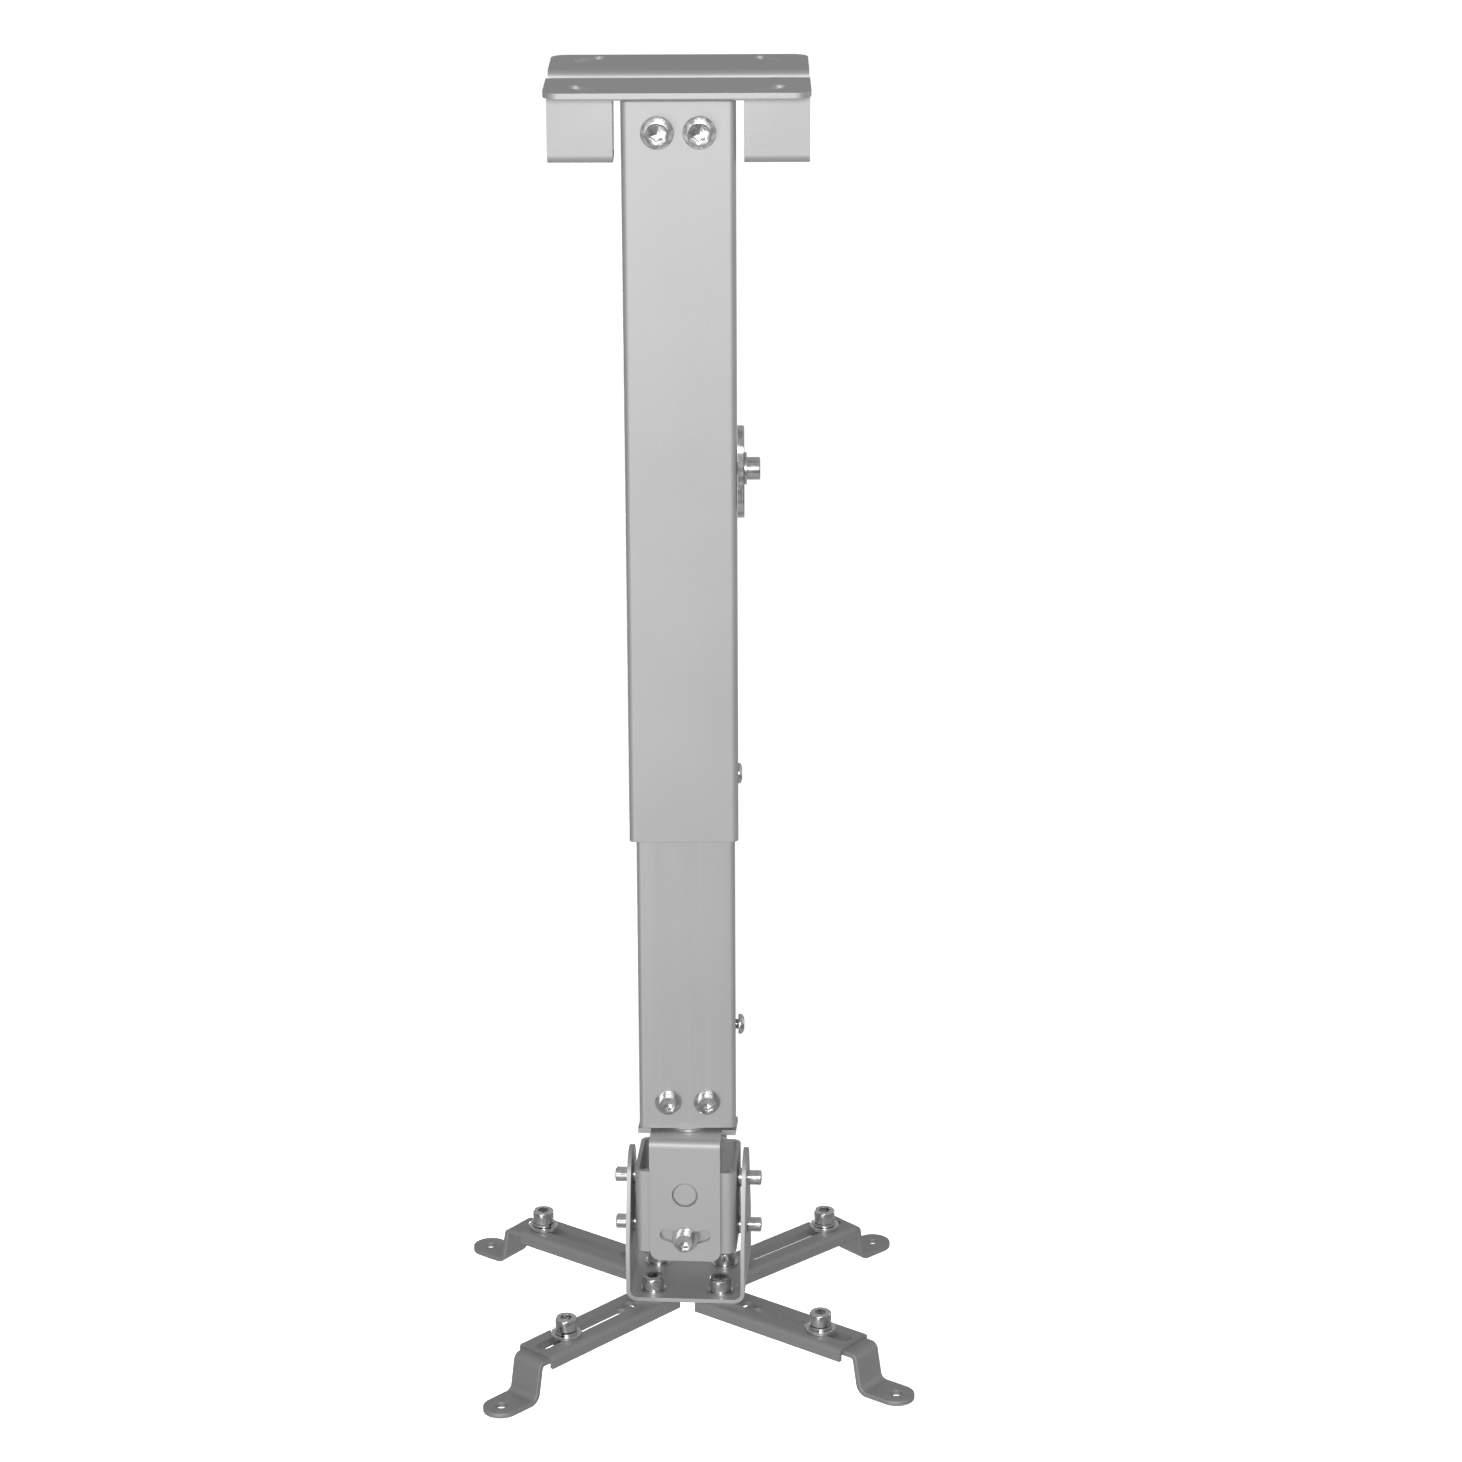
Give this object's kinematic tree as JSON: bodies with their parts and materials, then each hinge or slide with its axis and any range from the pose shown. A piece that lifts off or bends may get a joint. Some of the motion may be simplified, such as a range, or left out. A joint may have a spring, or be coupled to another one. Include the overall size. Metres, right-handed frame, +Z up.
{
  "type": "projector ceiling mount",
  "caption": "Ceiling mount for a projector: folded bracket, telescoping drop tubes, a head that swivels, rolls and tilts, and swinging slotted arms with sliding Z-bent legs.",
  "frame": {"origin": "in the ceiling plane, at the centre of the four ceiling slots", "axes": "+Z up towards the ceiling, -Y to the front as pictured, +X to the right"},
  "size_m": [0.2136, 0.1867, 0.6023],
  "materials": {
    "bracket_paint": "satin silver powder coat",
    "tube_paint": "satin silver powder coat",
    "head_paint": "satin silver powder coat",
    "arm_paint": "satin silver powder coat",
    "zinc": "bright zinc plate"
  },
  "bodies": {
    "base": {"ceiling_bracket": "bracket_paint", "outer_tube": "tube_paint", "top_bolts": "zinc", "top_washers": "zinc", "top_nuts": "zinc", "guide_screw": "zinc"},
    "drop_tube": {"inner_tube": "tube_paint", "height_plate": "zinc", "height_washer": "zinc", "height_screw": "zinc", "height_nut": "zinc", "stop_screw": "zinc", "stop_nut": "zinc", "neck_bracket": "tube_paint", "neck_screws": "zinc", "neck_washers": "zinc", "neck_nuts": "zinc", "swivel_nut": "zinc"},
    "swivel_yoke": {"yoke": "head_paint", "swivel_bolt": "zinc", "swivel_spacer": "zinc"},
    "roll_block": {"tilt_block": "head_paint", "roll_pins": "zinc", "roll_lock_screws": "zinc", "roll_lock_washers": "zinc", "roll_lock_nuts": "zinc", "tilt_pivot_screws": "zinc", "tilt_pivot_spacers": "zinc", "tilt_pivot_nuts": "zinc", "tilt_lock_screws": "zinc", "tilt_lock_spacers": "zinc", "tilt_lock_nuts": "zinc"},
    "tilt_cradle": {"cradle": "head_paint", "arm_pivot_screws": "zinc", "arm_pivot_washers": "zinc", "arm_pivot_nuts": "zinc"},
    "front_left_swing": {"front_left_arm": "arm_paint"},
    "front_left_clamp": {"front_left_screw": "zinc", "front_left_washers": "zinc", "front_left_nut": "zinc"},
    "front_left_reach": {"front_left_leg": "arm_paint"},
    "front_right_swing": {"front_right_arm": "arm_paint"},
    "front_right_clamp": {"front_right_screw": "zinc", "front_right_washers": "zinc", "front_right_nut": "zinc"},
    "front_right_reach": {"front_right_leg": "arm_paint"},
    "back_left_swing": {"back_left_arm": "arm_paint"},
    "back_left_clamp": {"back_left_screw": "zinc", "back_left_washers": "zinc", "back_left_nut": "zinc"},
    "back_left_reach": {"back_left_leg": "arm_paint"},
    "back_right_swing": {"back_right_arm": "arm_paint"},
    "back_right_clamp": {"back_right_screw": "zinc", "back_right_washers": "zinc", "back_right_nut": "zinc"},
    "back_right_reach": {"back_right_leg": "arm_paint"}
  },
  "joints": [
    {"name": "height_slide", "type": "slide", "parent": "base", "child": "drop_tube", "axis": [0, 0, -1], "range_m": [-0.09, 0.115]},
    {"name": "swivel_turn", "type": "hinge", "parent": "drop_tube", "child": "swivel_yoke", "pos_m": [0.00075, 0, -0.4963], "axis": [0, 0, 1], "continuous": true},
    {"name": "roll_turn", "type": "hinge", "parent": "swivel_yoke", "child": "roll_block", "pos_m": [0.00075, 0, -0.524], "axis": [0.0698, 0.9976, 0], "range_deg": [-19, 19]},
    {"name": "tilt_turn", "type": "hinge", "parent": "roll_block", "child": "tilt_cradle", "pos_m": [0.00075, 0, -0.524], "axis": [0.9976, -0.0698, 0], "range_deg": [-15, 15]},
    {"name": "front_left_swing_turn", "type": "hinge", "parent": "tilt_cradle", "child": "front_left_swing", "pos_m": [-0.01622, -0.01335, -0.57905], "axis": [0, 0, 1], "range_deg": [-50, 39]},
    {"name": "front_left_clamp_slide", "type": "slide", "parent": "front_left_swing", "child": "front_left_clamp", "axis": [-0.682, -0.7314, 0], "range_m": [-0.0075, 0.0147]},
    {"name": "front_left_leg_slide", "type": "slide", "parent": "front_left_clamp", "child": "front_left_reach", "axis": [0.682, 0.7314, 0], "range_m": [-0.0363, 0.0075]},
    {"name": "front_right_swing_turn", "type": "hinge", "parent": "tilt_cradle", "child": "front_right_swing", "pos_m": [0.0157, -0.01558, -0.57905], "axis": [0, 0, 1], "range_deg": [-56, 33]},
    {"name": "front_right_clamp_slide", "type": "slide", "parent": "front_right_swing", "child": "front_right_clamp", "axis": [0.7934, -0.6088, 0], "range_m": [-0.0082, 0.014]},
    {"name": "front_right_leg_slide", "type": "slide", "parent": "front_right_clamp", "child": "front_right_reach", "axis": [-0.7934, 0.6088, 0], "range_m": [-0.0363, 0.0082]},
    {"name": "back_left_swing_turn", "type": "hinge", "parent": "tilt_cradle", "child": "back_left_swing", "pos_m": [-0.0142, 0.01558, -0.57905], "axis": [0, 0, 1], "range_deg": [-56, 33]},
    {"name": "back_left_clamp_slide", "type": "slide", "parent": "back_left_swing", "child": "back_left_clamp", "axis": [-0.7986, 0.6018, 0], "range_m": [-0.0122, 0.001]},
    {"name": "back_left_leg_slide", "type": "slide", "parent": "back_left_clamp", "child": "back_left_reach", "axis": [0.7986, -0.6018, 0], "range_m": [-0.0453, 0.0037]},
    {"name": "back_right_swing_turn", "type": "hinge", "parent": "tilt_cradle", "child": "back_right_swing", "pos_m": [0.01772, 0.01335, -0.57905], "axis": [0, 0, 1], "range_deg": [-46, 43]},
    {"name": "back_right_clamp_slide", "type": "slide", "parent": "back_right_swing", "child": "back_right_clamp", "axis": [0.7373, 0.6756, 0], "range_m": [-0.0065, 0.0067]},
    {"name": "back_right_leg_slide", "type": "slide", "parent": "back_right_clamp", "child": "back_right_reach", "axis": [-0.7373, -0.6756, 0], "range_m": [-0.0453, 0.0037]}
  ]
}
